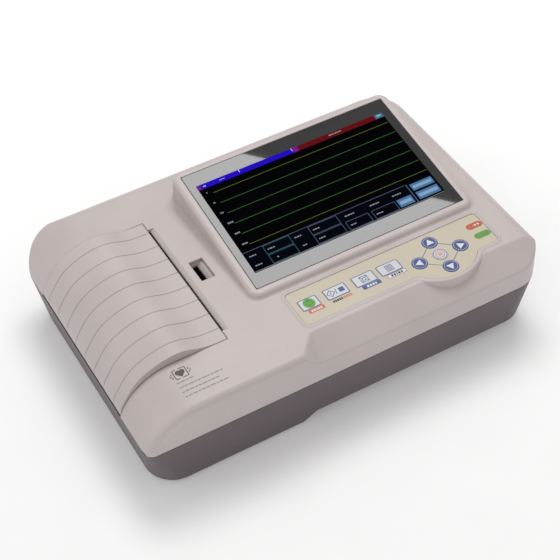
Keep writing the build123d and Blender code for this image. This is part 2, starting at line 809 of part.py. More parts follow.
def make_chassis():
    plate = block((chassis_x, chassis_x + chassis_thickness),
                  (-chassis_half, chassis_half), (floor_low + wall, head_top - 1.0))
    window = block((chassis_x - 5, chassis_x + 5), (-34, 22), (14, 46))
    plate = plate - window
    motor_window = block((chassis_x - 5, chassis_x + 5),
                         (motor_face - motor_length - 3, motor_face + 5),
                         (pinion_z - motor_radius - 1, pinion_z + motor_radius + 1))
    plate = plate - motor_window
    flange = block((pinion_x - 0.7 * motor_radius, pinion_x + motor_radius),
                   (motor_face, motor_face + 1.0),
                   (pinion_z - motor_radius - 2, pinion_z + motor_radius + 2))
    stay_low = block((chassis_x, chassis_x + chassis_thickness),
                     (chassis_half - 2, motor_face + 1.0),
                     (pinion_z - motor_radius - 6, pinion_z - motor_radius - 1))
    stay_high = block((chassis_x, chassis_x + chassis_thickness),
                      (chassis_half - 2, motor_face + 1.0),
                      (pinion_z + motor_radius + 1, pinion_z + motor_radius + 6))
    flange = flange + stay_low + stay_high
    flange = flange - rod_y(pinion_x, pinion_z, motor_shaft_radius + 1.0,
                            motor_face - 1, motor_face + 3)
    for z in (head_bottom, head_top - 4):
        plate = plate + block((head_face + head_thickness + sink_thickness, chassis_x + 0.5),
                              (-50, 50), (z, z + 1.2))
    return plate + flange


def make_heat_sink():
    back = head_face + head_thickness
    sink = block((back, back + sink_thickness), (-54, 54), (head_bottom, head_top - 0.6))
    for i in range(18):
        y = -51 + 6 * i
        sink = sink - block((back + 2.4, back + sink_thickness + 1), (y - 1.6, y + 1.6),
                            (head_bottom + 1.6, head_top - 5.2))
    return sink


def make_motor():
    body = rod_y(pinion_x, pinion_z, motor_radius, motor_face - motor_length, motor_face)
    body = chamfer(body.edges(), 0.6)
    return body


def make_motor_shaft():
    return rod_y(pinion_x, pinion_z, motor_shaft_radius, motor_face + 0.2,
                 gear_y + gear_width / 2 + 0.6)


# ---- cover latch: a yoke under the deck with an arm at each end of the slot ----
latch_bar_left = -63.0
latch_bar_right = -50.0
latch_bar_x = -55.0
latch_bar_top = inner_top - latch_gap
latch_bar_bottom = latch_bar_top - 3.0
latch_posts = (-34.0, 34.0)
latch_arm_tip = platen_x + 5.5 + latch_gap
spring_y = -21.0
spring_right = -44.4
spring_wire = 0.35
spring_radius = 1.3


def make_latch():
    bar = block((latch_bar_left, latch_bar_right), (-ear_outer, ear_outer),
                (latch_bar_bottom, latch_bar_top))
    for side in (-1, 1):
        span = sorted((side * (ear_inner + 0.3), side * ear_outer))
        bar = bar + block((latch_arm_tip, latch_bar_left + 1), span,
                          (latch_bar_bottom, latch_bar_top))
    # The finger well, with a sloped face to push against.
    well = [(latch_left - 0.2, latch_bar_top + 1), (latch_left - 0.2, latch_bar_bottom - 1),
            (latch_left + 4.6, latch_bar_bottom - 1), (latch_right - 0.6, latch_bar_top + 1)]
    bar = bar - prism_y(well, latch_front + 0.8, latch_back - 0.8)
    for y in latch_posts:
        bar = bar - block((latch_bar_x - 1.8 - latch_travel - 0.2, latch_bar_x + 1.8),
                          (y - 1.8, y + 1.8), (0, 100))
    return bar


def make_latch_spring():
    left = latch_bar_right
    turns = 5.0
    length = spring_right - left - 2 * spring_wire - 0.2
    path = Helix(pitch=length / turns, height=length, radius=spring_radius)
    start = Plane(origin=path @ 0, z_dir=path % 0)
    coil = sweep(start * Circle(spring_wire), path=path, is_frenet=True)
    middle_z = (latch_bar_top + latch_bar_bottom) / 2
    return Pos(left + spring_wire + 0.1, spring_y, middle_z) * Rot(0, 90, 0) * coil


# ---- electronics ----
board_top = floor_high + wall + 6.0
board_bottom = board_top - 1.6
main_board_x = (-24.0, 14.0)
main_board_y = (-66.0, 70.0)
front_board_x = (105.0, 134.0)
front_board_y = (-62.0, 20.0)
standoffs = {
    "main": [(x, y) for x in (-20.0, 10.0) for y in (-60.0, 64.0)],
    "front": [(x, y) for x in (107.5, 130.5) for y in (-58.0, 16.0)],
}


def standoff_posts():
    posts = []
    for places in standoffs.values():
        for x, y in places:
            post = rod_z(x, y, 2.6, floor_high + wall - 0.5, board_bottom)
            posts.append(post - rod_z(x, y, 1.0, board_bottom - 4, board_bottom + 1))
    return posts


def board(x, y, places):
    sheet = block(x, y, (board_bottom, board_top))
    for px, py in places:
        sheet = sheet - rod_z(px, py, 1.0, board_bottom - 1, board_top + 1)
    return sheet


def make_main_board():
    sheet = board(main_board_x, main_board_y, standoffs["main"])
    for x, y, size, height in ((-5, -30, 16, 2.0), (-6, 5, 12, 1.6), (-4, 32, 9, 1.4)):
        sheet = sheet + block((x - size / 2, x + size / 2), (y - size / 2, y + size / 2),
                              (board_top - 0.1, board_top + height))
    for y in (-50, 50):
        sheet = sheet + block((-14, 4), (y - 2.5, y + 2.5), (board_top - 0.1, board_top + 6))
    return sheet


def make_power_module():
    low = floor_high + wall
    base = block((34, 98), (4, 70), (low, low + 3.0))
    base = base + block((38, 60), (12, 36), (low + 2.9, low + 22))
    base = base + block((66, 92), (10, 28), (low + 2.9, low + 16))
    for x in (44, 62, 80):
        base = base + rod_z(x, 56, 6.0, low + 2.9, low + 20)
    return base


def make_board_screws():
    made = []
    for places in standoffs.values():
        for x, y in places:
            shank = rod_z(x, y, 1.0, board_top - 4.5, board_top)
            head = rod_z(x, y, 2.2, board_top, board_top + 1.4)
            made.append(shank + head)
    return Compound(children=made)


# ---- connector panels ----
inlet_x = 54.0
inlet_size = (27.4, 19.8)
rocker_x = 86.0
rocker_size = (13.0, 19.0)
terminal_x = 110.0
panel_middle_z = (rear_panel_z[0] + rear_panel_z[1]) / 2
side_middle_z = (side_panel_z[0] + side_panel_z[1]) / 2
lead_socket_y = -32.0
usb_y = -6.0
socket_post_reach = 16.6


def make_rear_panel():
    panel = block(rear_panel_x, (rear_panel_y - panel_thickness, rear_panel_y), rear_panel_z)
    holes = ((inlet_x, *inlet_size), (rocker_x, *rocker_size))
    for x, width, height in holes:
        panel = panel - block((x - width / 2, x + width / 2), (rear_panel_y - 5, rear_panel_y + 1),
                              (panel_middle_z - height / 2, panel_middle_z + height / 2))
    return panel - rod_y(terminal_x, panel_middle_z, 3.0, rear_panel_y - 5, rear_panel_y + 1)


def make_inlet():
    width, height = inlet_size
    z = panel_middle_z
    body = block((inlet_x - width / 2, inlet_x + width / 2), (rear_panel_y - 20, rear_panel_y),
                 (z - height / 2, z + height / 2))
    flange = block((inlet_x - width / 2 - 2, inlet_x + width / 2 + 2),
                   (rear_panel_y, rear_panel_y + 1.8), (z - height / 2 - 2, z + height / 2 + 2))
    cavity = block((inlet_x - 12.0, inlet_x + 12.0), (rear_panel_y - 15, rear_panel_y + 3),
                   (z - 8.0, z + 8.0))
    cavity = chamfer(cavity.edges().filter_by(Axis.Y).group_by(Axis.Z)[-1], 4.5)
    body = body + flange - cavity
    for dx, dz in ((-7.0, -1.5), (0.0, 2.5), (7.0, -1.5)):
        body = body + block((inlet_x + dx - 1.0, inlet_x + dx + 1.0),
                            (rear_panel_y - 15.5, rear_panel_y - 3), (z + dz - 2.0, z + dz + 2.0))
    return body


def make_rocker_frame():
    width, height = rocker_size
    z = panel_middle_z
    body = block((rocker_x - width / 2, rocker_x + width / 2),
                 (rear_panel_y - 14, rear_panel_y), (z - height / 2, z + height / 2))
    flange = block((rocker_x - width / 2 - 1, rocker_x + width / 2 + 1),
                   (rear_panel_y, rear_panel_y + 1.4), (z - height / 2 - 1, z + height / 2 + 1))
    well = block((rocker_x - width / 2 + 1.5, rocker_x + width / 2 - 1.5),
                 (rear_panel_y - 9, rear_panel_y + 3),
                 (z - height / 2 + 1.5, z + height / 2 - 1.5))
    body = body + flange - well
    return body - rod_x(rocker_pivot_y, z, 1.0, rocker_x - width / 2 + 0.6,
                        rocker_x + width / 2 - 0.6)


rocker_pivot_y = rear_panel_y - 3.0
rocker_throw = 16.0       # from off to on, in degrees; it rests at off


def make_rocker():
    width, height = rocker_size
    z = panel_middle_z
    half_w = width / 2 - 1.8
    half_h = height / 2 - 2.6
    low_y = rear_panel_y - 4.5
    points = [(low_y, z - half_h + 1.5), (rear_panel_y + 1.4, z - half_h),
              (rear_panel_y + 0.2, z), (rear_panel_y + 1.4, z + half_h),
              (low_y, z + half_h - 1.5)]
    left = rocker_x - half_w
    face = make_face(Polyline(*[(left, py, pz) for py, pz in points], close=True))
    paddle = extrude(face, amount=2 * half_w, dir=(1, 0, 0))
    paddle = paddle + rod_x(rocker_pivot_y, z, 0.95, rocker_x - width / 2 + 0.8,
                            rocker_x + width / 2 - 0.8)
    return paddle.rotate(Axis((rocker_x, rocker_pivot_y, z), (1, 0, 0)), -rocker_throw / 2)


def make_terminal():
    stud = rod_y(terminal_x, panel_middle_z, 3.0, rear_panel_y - 8, rear_panel_y + 5.5)
    nut = rod_y(terminal_x, panel_middle_z, 6.0, rear_panel_y, rear_panel_y + 1.6)
    back = rod_y(terminal_x, panel_middle_z, 5.5, rear_panel_y - 5,
                 rear_panel_y - panel_thickness)
    return stud + nut + back


def make_side_panel():
    panel = block((side_panel_x - panel_thickness, side_panel_x), side_panel_y, side_panel_z)
    panel = panel - block((side_panel_x - 5, side_panel_x + 1),
                          (lead_socket_y - 13, lead_socket_y + 13),
                          (side_middle_z - 5.4, side_middle_z + 5.4))
    panel = panel - block((side_panel_x - 5, side_panel_x + 1), (usb_y - 7, usb_y + 7),
                          (side_middle_z - 3.6, side_middle_z + 3.6))
    for side in (-1, 1):
        panel = panel - rod_x(lead_socket_y + side * socket_post_reach, side_middle_z, 1.5,
                              side_panel_x - 5, side_panel_x + 1)
    return panel


def make_lead_socket():
    z = side_middle_z
    x = side_panel_x
    flange = block((x - panel_thickness - 1.2, x - panel_thickness),
                   (lead_socket_y - 19, lead_socket_y + 19), (z - 6.2, z + 6.2))
    shroud = block((x - panel_thickness - 10, x + 3.0),
                   (lead_socket_y - 12.6, lead_socket_y + 12.6), (z - 5.0, z + 5.0))
    shroud = fillet(shroud.edges().filter_by(Axis.X), 3.0)
    face = shroud + flange
    for row, count in ((1.4, 8), (-1.4, 7)):
        for i in range(count):
            y = lead_socket_y + (i - (count - 1) / 2) * 2.76
            face = face - rod_x(y, z + row, 0.6, x - 3, x + 4)
    for side in (-1, 1):
        face = face - rod_x(lead_socket_y + side * socket_post_reach, z, 1.5, x - 5, x + 5)
    return face


def make_socket_posts():
    made = []
    for side in (-1, 1):
        y = lead_socket_y + side * socket_post_reach
        post = rod_x(y, side_middle_z, 1.5, side_panel_x - 8, side_panel_x + 0.5)
        nut = Pos(side_panel_x, y, side_middle_z) * Rot(0, 90, 0) * extrude(
            RegularPolygon(2.8, 6), 4.0)
        hole = rod_x(y, side_middle_z, 1.2, side_panel_x + 1, side_panel_x + 6)
        made.append(post + nut - hole)
    return Compound(children=made)


def make_usb_socket():
    z = side_middle_z
    x = side_panel_x
    shell = block((x - 14, x + 0.6), (usb_y - 6.9, usb_y + 6.9), (z - 3.5, z + 3.5))
    mouth = block((x - 10, x + 1), (usb_y - 6.2, usb_y + 6.2), (z - 2.8, z + 2.8))
    tongue = block((x - 11, x - 1), (usb_y - 5.6, usb_y + 5.6), (z + 0.4, z + 2.0))
    return shell - mouth + tongue


def make_speaker():
    low = floor_high + wall
    frame = rod_z(speaker_x, speaker_y, 18.0, low, low + 2.5)
    basket = Pos(speaker_x, speaker_y, low + 2.5) * Cone(
        14.0, 8.0, 5.0, align=(Align.CENTER, Align.CENTER, Align.MIN))
    magnet = rod_z(speaker_x, speaker_y, 9.0, low + 7.4, low + 12)
    opening = rod_z(speaker_x, speaker_y, 14.0, low - 1, low + 1.5)
    return frame + basket + magnet - opening


# ---- write the nodes ----
def at(shape, x, z):
    return Pos(x, gear_y, z) * shape


nodes = {}
nodes["top_shell"] = make_top_shell()
base = make_bottom_shell()
for post in standoff_posts():
    base = base + post
nodes["bottom_shell"] = base
nodes["rubber_feet"] = make_feet()
nodes["screen_glass"] = make_glass()
nodes["display_module"] = make_display()
nodes["display_bracket"] = make_bracket()
nodes["bracket_screws"] = screws(
    bracket_screws, tilted.location, 0.9, 1.8, 1.3, bracket_level - bracket_thickness, 4.5)
nodes["keypad_film"] = make_film()
for key in keys:
    nodes[key] = make_key(key)
nodes["keypad_board"] = make_keypad_board()
nodes["keypad_screws"] = screws(
    board_screws, on_deck, 0.9, 1.8, 1.2, keypad_level - keypad_board_thickness, 2.6)
nodes["dome_switches"] = make_domes()
nodes["lamp_lenses"] = Compound(children=[
    lens_shape(lens, 0.0, keypad_level, film_rise + 0.1) for lens in lenses])
nodes["case_screws"] = Compound(children=[
    rod_z(x, y, screw_radius, base_floor(x) + 4, split_height + 10)
    + rod_z(x, y, 2.8, base_floor(x) + 1.2, base_floor(x) + 4)
    - rod_z(x, y, 1.3, base_floor(x), base_floor(x) + 2.6)
    for x, y in boss_places])
nodes["battery_pack"] = make_battery()
nodes["battery_cover"] = make_battery_cover()
nodes["battery_screws"] = Compound(children=[
    rod_z(x, y, 0.9, floor_high + 0.8, floor_high + 6)
    + rod_z(x, y, 1.9, floor_high, floor_high + 0.8)
    for x, y in battery_screw_places])
nodes["main_board"] = make_main_board()
nodes["lead_board"] = board(front_board_x, front_board_y, standoffs["front"])
nodes["lead_board_shield"] = block((107, 126), (-50, 8), (board_top, board_top + 9))
nodes["board_screws"] = make_board_screws()
nodes["power_module"] = make_power_module()
nodes["speaker"] = make_speaker()
nodes["rear_panel"] = make_rear_panel()
nodes["mains_inlet"] = make_inlet()
nodes["switch_frame"] = make_rocker_frame()
nodes["power_rocker"] = make_rocker()
nodes["ground_terminal"] = make_terminal()
nodes["side_panel"] = make_side_panel()
nodes["lead_socket"] = make_lead_socket()
nodes["socket_posts"] = make_socket_posts()
nodes["usb_socket"] = make_usb_socket()
nodes["printer_cover"] = make_cover()
nodes["hinge_rod"] = rod_y(hinge_x, hinge_z, hinge_rod_radius,
                           -opening_half - wall, opening_half + wall)
nodes["platen_shaft"] = rod_y(platen_x, platen_z, platen_shaft_radius,
                              -ear_outer - 0.6, gear_y + gear_width / 2 + 0.4)
nodes["platen_rubber"] = (
    rod_y(platen_x, platen_z, platen_radius, -54.5, 54.5)
    - rod_y(platen_x, platen_z, platen_shaft_radius, -60, 60))
nodes["platen_bushings"] = Compound(children=[
    rod_y(platen_x, platen_z, bushing_radius, side * ear_inner, side * ear_outer)
    + rod_y(platen_x, platen_z, bushing_radius + 1, side * (ear_inner - 1), side * ear_inner)
    - rod_y(platen_x, platen_z, platen_shaft_radius + running_fit, -80, 80)
    for side in (-1, 1)])
nodes["platen_gear"] = at(gear(platen_teeth, platen_shaft_radius, platen_turn),
                          platen_x, platen_z)
nodes["idler_gear"] = at(gear(idler_teeth, idler_pin_radius + running_fit, idler_turn),
                         idler_x, idler_z)
nodes["idler_pin"] = rod_y(idler_x, idler_z, idler_pin_radius, bay_half,
                           gear_y + gear_width / 2 + 0.5)
nodes["motor_pinion"] = at(gear(pinion_teeth, motor_shaft_radius, pinion_turn), pinion_x, pinion_z)
nodes["motor_shaft"] = make_motor_shaft()
nodes["paper_motor"] = make_motor()
nodes["paper_bay"] = make_bay()
nodes["paper_spindle"] = make_spindle()
nodes["printer_chassis"] = make_chassis()
nodes["print_head"] = block((head_face, head_face + head_thickness), (-54.5, 54.5),
                            (head_bottom, head_top))
nodes["head_heat_sink"] = make_heat_sink()
nodes["latch_yoke"] = make_latch()
nodes["latch_screws"] = Compound(children=[
    rod_z(latch_bar_x, y, 0.8, latch_bar_bottom - latch_gap, latch_bar_bottom + 2.4)
    + rod_z(latch_bar_x, y, 3.0, latch_bar_bottom - latch_gap - 1.4, latch_bar_bottom - latch_gap)
    for y in latch_posts])
nodes["latch_spring"] = make_latch_spring()

for node, shape in nodes.items():
    save(node, shape)
print(len(nodes), "nodes")
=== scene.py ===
import bpy
from math import atan2, cos, pi, radians, sin
from mathutils import Matrix, Vector
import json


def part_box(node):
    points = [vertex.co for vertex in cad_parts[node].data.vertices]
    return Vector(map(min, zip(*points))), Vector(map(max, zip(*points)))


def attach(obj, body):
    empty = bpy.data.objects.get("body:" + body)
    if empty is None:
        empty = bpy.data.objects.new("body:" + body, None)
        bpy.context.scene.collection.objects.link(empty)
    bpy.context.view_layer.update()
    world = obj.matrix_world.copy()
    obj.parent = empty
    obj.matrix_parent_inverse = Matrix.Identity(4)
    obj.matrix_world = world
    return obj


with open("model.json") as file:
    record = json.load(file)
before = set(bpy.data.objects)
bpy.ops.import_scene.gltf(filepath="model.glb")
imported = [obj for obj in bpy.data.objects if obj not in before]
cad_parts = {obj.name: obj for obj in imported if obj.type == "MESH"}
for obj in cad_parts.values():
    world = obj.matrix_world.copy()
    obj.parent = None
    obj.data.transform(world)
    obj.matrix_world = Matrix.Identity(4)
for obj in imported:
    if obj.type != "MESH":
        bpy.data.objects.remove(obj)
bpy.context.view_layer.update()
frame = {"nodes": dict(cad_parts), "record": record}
nodes = frame["nodes"]
print("frame loaded:", len(nodes), "nodes")


# places taken from the frame
def middleOf(node):
    low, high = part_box(node)
    return (Vector(low) + Vector(high)) / 2


# the largest upward face of the glass gives the tilt of the screen
upward = [f for f in nodes["screen_glass"].data.polygons if f.normal.z > 0.9]
faceNormal = max(upward, key=lambda f: f.area).normal.copy()
faceTilt = atan2(-faceNormal.y, faceNormal.z)
glassLow, glassHigh = (Vector(p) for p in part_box("screen_glass"))
glassSpan = glassHigh - glassLow
spread = cos(faceTilt) ** 2 - sin(faceTilt) ** 2
glassThick = (glassSpan.z * cos(faceTilt) - glassSpan.y * sin(faceTilt)) / spread
faceOrigin = (glassLow + glassHigh) / 2 + faceNormal * glassThick / 2
toFace = Matrix.Translation(faceOrigin) @ Matrix.Rotation(faceTilt, 4, 'X')
fromFace = toFace.inverted()


def topOf(node):
    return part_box(node)[1][2]


def heightOnFace(node):
    # highest vertex of a node over the plane of the glass
    return max((fromFace @ v.co).z for v in nodes[node].data.vertices)


# small tools for modelling
def clearSelection():
    if bpy.context.object and bpy.context.object.mode != 'OBJECT':
        bpy.ops.object.mode_set(mode='OBJECT')
    bpy.ops.object.select_all(action='DESELECT')


def pick(*pieces):
    clearSelection()
    for piece in pieces:
        piece.select_set(True)
    bpy.context.view_layer.objects.active = pieces[0]


def editAll(piece):
    # opens a piece in edit mode with all of it selected
    pick(piece)
    bpy.ops.object.mode_set(mode='EDIT')
    bpy.ops.mesh.select_all(action='SELECT')


def settle(piece):
    pick(piece)
    bpy.ops.object.transform_apply(location=True, rotation=True, scale=True)


def applyAll(piece):
    pick(piece)
    for modifier in list(piece.modifiers):
        bpy.ops.object.modifier_apply(modifier=modifier.name)


# finishes
def newFinish(name):
    finish = bpy.data.materials.new(name)
    finish.use_nodes = True
    tree = finish.node_tree
    shader = tree.nodes["Principled BSDF"]
    spot = tree.nodes.new('ShaderNodeTexCoord')
    return finish, tree, shader, spot.outputs['Object']


def addNoise(tree, spot, scale, detail=3.0, rough=0.5, stretch=None):
    noise = tree.nodes.new('ShaderNodeTexNoise')
    noise.inputs['Scale'].default_value = scale
    noise.inputs['Detail'].default_value = detail
    noise.inputs['Roughness'].default_value = rough
    if stretch:
        mapping = tree.nodes.new('ShaderNodeMapping')
        mapping.inputs['Scale'].default_value = stretch
        tree.links.new(spot, mapping.inputs['Vector'])
        spot = mapping.outputs['Vector']
    tree.links.new(spot, noise.inputs['Vector'])
    return noise.outputs['Fac']


def ramp(tree, value, low, high, stops=(0.3, 0.7)):
    scale = tree.nodes.new('ShaderNodeValToRGB')
    scale.color_ramp.elements[0].position = stops[0]
    scale.color_ramp.elements[1].position = stops[1]
    scale.color_ramp.elements[0].color = (*low, 1)
    scale.color_ramp.elements[1].color = (*high, 1)
    tree.links.new(value, scale.inputs['Fac'])
    return scale.outputs['Color']


def spanOf(tree, value, low, high):
    reach = tree.nodes.new('ShaderNodeMapRange')
    reach.inputs['From Min'].default_value = 0.3
    reach.inputs['From Max'].default_value = 0.7
    reach.inputs['To Min'].default_value = low
    reach.inputs['To Max'].default_value = high
    tree.links.new(value, reach.inputs['Value'])
    return reach.outputs['Result']


def addBump(tree, shader, height, strength, distance, edge=0.0):
    bump = tree.nodes.new('ShaderNodeBump')
    bump.inputs['Strength'].default_value = strength
    bump.inputs['Distance'].default_value = distance
    tree.links.new(height, bump.inputs['Height'])
    if edge:
        soften = tree.nodes.new('ShaderNodeBevel')
        soften.samples = 6
        soften.inputs['Radius'].default_value = edge
        tree.links.new(soften.outputs['Normal'], bump.inputs['Normal'])
    tree.links.new(bump.outputs['Normal'], shader.inputs['Normal'])


def shade(colour, factor):
    return tuple(min(c * factor, 1.0) for c in colour)


def moulded(name, colour, rough=0.5, grain=2600, depth=0.08, vary=0.04, edge=0.0, gloss=0.5):
    # moulded plastic or rubber: spark texture, faint flow clouds, soft edges
    finish, tree, shader, spot = newFinish(name)
    clouds = addNoise(tree, spot, 22, 4)
    tree.links.new(ramp(tree, clouds, shade(colour, 1 - vary), shade(colour, 1 + vary)),
                   shader.inputs['Base Color'])
    texture = addNoise(tree, spot, grain, 2)
    tree.links.new(spanOf(tree, texture, rough - 0.05, rough + 0.07), shader.inputs['Roughness'])
    shader.inputs['Specular IOR Level'].default_value = gloss
    addBump(tree, shader, texture, depth, 0.0002, edge)
    return finish


def metal(name, colour, rough=0.3, stretch=(1, 1, 40), grain=180, depth=0.15, edge=0.0):
    # worked metal: fine lines from rolling, turning or drawing
    finish, tree, shader, spot = newFinish(name)
    lines = addNoise(tree, spot, grain, 5, 0.6, stretch)
    blooms = addNoise(tree, spot, 35, 3)
    tree.links.new(ramp(tree, blooms, shade(colour, 0.86), colour), shader.inputs['Base Color'])
    tree.links.new(spanOf(tree, lines, rough - 0.08, rough + 0.12), shader.inputs['Roughness'])
    shader.inputs['Metallic'].default_value = 1.0
    addBump(tree, shader, lines, depth, 0.0001, edge)
    return finish


def ink(name, colour, rough=0.45, glow=0.0):
    # printed or lit marks, with a little unevenness in the print
    finish, tree, shader, spot = newFinish(name)
    mottle = addNoise(tree, spot, 1500, 3)
    coat = ramp(tree, mottle, shade(colour, 0.9), shade(colour, 1.05))
    if not glow:
        tree.links.new(coat, shader.inputs['Base Color'])
    tree.links.new(spanOf(tree, mottle, rough - 0.04, rough + 0.04), shader.inputs['Roughness'])
    if glow:
        shader.inputs['Base Color'].default_value = (0.001, 0.001, 0.001, 1)
        tree.links.new(coat, shader.inputs['Emission Color'])
        shader.inputs['Emission Strength'].default_value = glow
        shader.inputs['Specular IOR Level'].default_value = 0.0
    return finish


def circuitBoard(name):
    # green mask over copper tracks and round lands
    finish, tree, shader, spot = newFinish(name)
    tracks = tree.nodes.new('ShaderNodeTexBrick')
    tracks.inputs['Scale'].default_value = 130
    tracks.inputs['Mortar Size'].default_value = 0.03
    tracks.inputs['Color1'].default_value = (0.012, 0.12, 0.05, 1)
    tracks.inputs['Color2'].default_value = (0.015, 0.15, 0.06, 1)
    tracks.inputs['Mortar'].default_value = (0.05, 0.3, 0.12, 1)
    tree.links.new(spot, tracks.inputs['Vector'])
    lands = tree.nodes.new('ShaderNodeTexVoronoi')
    lands.inputs['Scale'].default_value = 260
    tree.links.new(spot, lands.inputs['Vector'])
    dots = ramp(tree, lands.outputs['Distance'], (1, 1, 1), (0, 0, 0), (0.12, 0.16))
    blend = tree.nodes.new('ShaderNodeMix')
    blend.data_type = 'RGBA'
    tree.links.new(dots, blend.inputs['Factor'])
    tree.links.new(tracks.outputs['Color'], blend.inputs['A'])
    blend.inputs['B'].default_value = (0.7, 0.68, 0.6, 1)
    tree.links.new(blend.outputs['Result'], shader.inputs['Base Color'])
    shader.inputs['Roughness'].default_value = 0.35
    addBump(tree, shader, tracks.outputs['Fac'], 0.2, 0.0001)
    return finish


def blackGlass(name):
    # glass with its back printed black: clear, hard reflections and faint wipe marks
    finish, tree, shader, spot = newFinish(name)
    wipes = addNoise(tree, spot, 18, 5, 0.6, (1, 3, 1))
    tree.links.new(ramp(tree, wipes, (0.012, 0.012, 0.013), (0.018, 0.018, 0.019)),
                   shader.inputs['Base Color'])
    tree.links.new(spanOf(tree, wipes, 0.03, 0.06), shader.inputs['Roughness'])
    shader.inputs['Specular IOR Level'].default_value = 0.1
    shader.inputs['Coat Weight'].default_value = 1.0
    shader.inputs['Coat Roughness'].default_value = 0.02
    shader.inputs['Coat IOR'].default_value = 1.6
    return finish


def twoLamps(name, first, second, between):
    # both lamp lenses are in one node, so the colour changes between them
    finish, tree, shader, spot = newFinish(name)
    split = tree.nodes.new('ShaderNodeSeparateXYZ')
    tree.links.new(spot, split.inputs['Vector'])
    choose = tree.nodes.new('ShaderNodeMath')
    choose.operation = 'GREATER_THAN'
    choose.inputs[1].default_value = between
    tree.links.new(split.outputs['Y'], choose.inputs[0])
    frost = addNoise(tree, spot, 900, 3)
    blend = tree.nodes.new('ShaderNodeMix')
    blend.data_type = 'RGBA'
    tree.links.new(choose.outputs['Value'], blend.inputs['Factor'])
    tree.links.new(ramp(tree, frost, shade(second, 0.9), second), blend.inputs['A'])
    tree.links.new(ramp(tree, frost, shade(first, 0.9), first), blend.inputs['B'])
    tree.links.new(blend.outputs['Result'], shader.inputs['Base Color'])
    tree.links.new(blend.outputs['Result'], shader.inputs['Emission Color'])
    shader.inputs['Emission Strength'].default_value = 0.06
    tree.links.new(spanOf(tree, frost, 0.25, 0.4), shader.inputs['Roughness'])
    return finish


paleShell = {"colour": (0.575, 0.512, 0.50), "rough": 0.42, "edge": 0.0014}
darkShell = {"colour": (0.125, 0.099, 0.109), "rough": 0.5, "edge": 0.001}
lampSplit = (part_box("lamp_lenses")[0][1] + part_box("lamp_lenses")[1][1]) / 2

finishes = {
    "paleShell": moulded("paleShell", paleShell["colour"], paleShell["rough"],
                         edge=paleShell["edge"]),
    "darkShell": moulded("darkShell", darkShell["colour"], darkShell["rough"], depth=0.14,
                         edge=darkShell["edge"]),
    "footRubber": moulded("footRubber", (0.025, 0.025, 0.025), 0.75, 900, 0.3),
    "displayBlack": moulded("displayBlack", (0.01, 0.01, 0.012), 0.35),
    "keypadFilm": moulded("keypadFilm", (0.60, 0.535, 0.42), 0.4, 3200, 0.05, 0.02),
    "keyPale": moulded("keyPale", (0.66, 0.67, 0.68), 0.3, 3200, 0.03, 0.02),
    "keyBlue": moulded("keyBlue", (0.045, 0.085, 0.27), 0.3, 3200, 0.03, 0.03),
    "batteryWrap": moulded("batteryWrap", (0.03, 0.09, 0.3), 0.28, 60, 0.3),
    "speakerBlack": moulded("speakerBlack", (0.02, 0.02, 0.02), 0.6, 700, 0.4),
    "panelDark": moulded("panelDark", (0.045, 0.045, 0.05), 0.5, 1800, 0.15, edge=0.0003),
    "connectorBlack": moulded("connectorBlack", (0.018, 0.018, 0.018), 0.38, 2000, edge=0.0003),
    "leadBlue": moulded("leadBlue", (0.02, 0.05, 0.2), 0.35, 2000, edge=0.0003),
    "platenRubber": moulded("platenRubber", (0.03, 0.03, 0.032), 0.65, 1400, 0.2),
    "gearPlastic": moulded("gearPlastic", (0.72, 0.70, 0.64), 0.4, 1500, 0.1, edge=0.0002),
    "bayPlastic": moulded("bayPlastic", (0.09, 0.09, 0.095), 0.5, 2000, 0.15, edge=0.0003),
    "headGlaze": moulded("headGlaze", (0.62, 0.58, 0.5), 0.18, 400, 0.02),
    "sheetSteel": metal("sheetSteel", (0.62, 0.62, 0.6), 0.35, (1, 40, 1)),
    "screwSteel": metal("screwSteel", (0.4, 0.4, 0.4), 0.32, (1, 1, 20), 400),
    "shaftSteel": metal("shaftSteel", (0.66, 0.66, 0.66), 0.2, (1, 30, 1), 300),
    "motorSteel": metal("motorSteel", (0.48, 0.48, 0.5), 0.3, (20, 1, 20), 120),
    "springSteel": metal("springSteel", (0.6, 0.6, 0.6), 0.25, (30, 1, 1), 500),
    "turnedBrass": metal("turnedBrass", (0.72, 0.52, 0.22), 0.25, (1, 40, 1), 260),
    "finAluminium": metal("finAluminium", (0.7, 0.7, 0.72), 0.35, (1, 30, 1), 200),
    "circuitBoard": circuitBoard("circuitBoard"),
    "blackGlass": blackGlass("blackGlass"),
    "lampPair": twoLamps("lampPair", (0.55, 0.11, 0.055), (0.12, 0.33, 0.055), lampSplit),
}
finishBySlot = {
    "casing_light": "paleShell", "casing_dark": "darkShell", "foot_rubber": "footRubber",
    "screen_glass": "blackGlass", "display_black": "displayBlack", "sheet_steel": "sheetSteel",
    "screw_steel": "screwSteel", "keypad_film": "keypadFilm", "circuit_board": "circuitBoard",
    "lamp_lens": "lampPair", "battery_wrap": "batteryWrap", "speaker_black": "speakerBlack",
    "panel_dark": "panelDark", "connector_black": "connectorBlack", "lead_socket": "leadBlue",
    "terminal_brass": "turnedBrass", "shaft_steel": "shaftSteel", "platen_rubber": "platenRubber",
    "gear_plastic": "gearPlastic", "motor_steel": "motorSteel", "bay_plastic": "bayPlastic",
    "print_head": "headGlaze", "heat_sink": "finAluminium", "spring_steel": "springSteel",
    "key_green": "keyPale", "key_pale": "keyPale", "key_blue": "keyBlue",
}
for part in frame["record"]["subparts"]:
    shape = nodes[part["node"]].data
    shape.materials.clear()
    shape.materials.append(finishes[finishBySlot[part["material_slot"]]])
    pick(nodes[part["node"]])
    bpy.ops.object.shade_smooth_by_angle(angle=radians(28))
print("finishes made:", len(finishes))


# printed and lit marks: each shape is flat at first, in millimetres on its plane, then joined into
# one piece per ink and body and given the thickness of the print
mm = 0.001


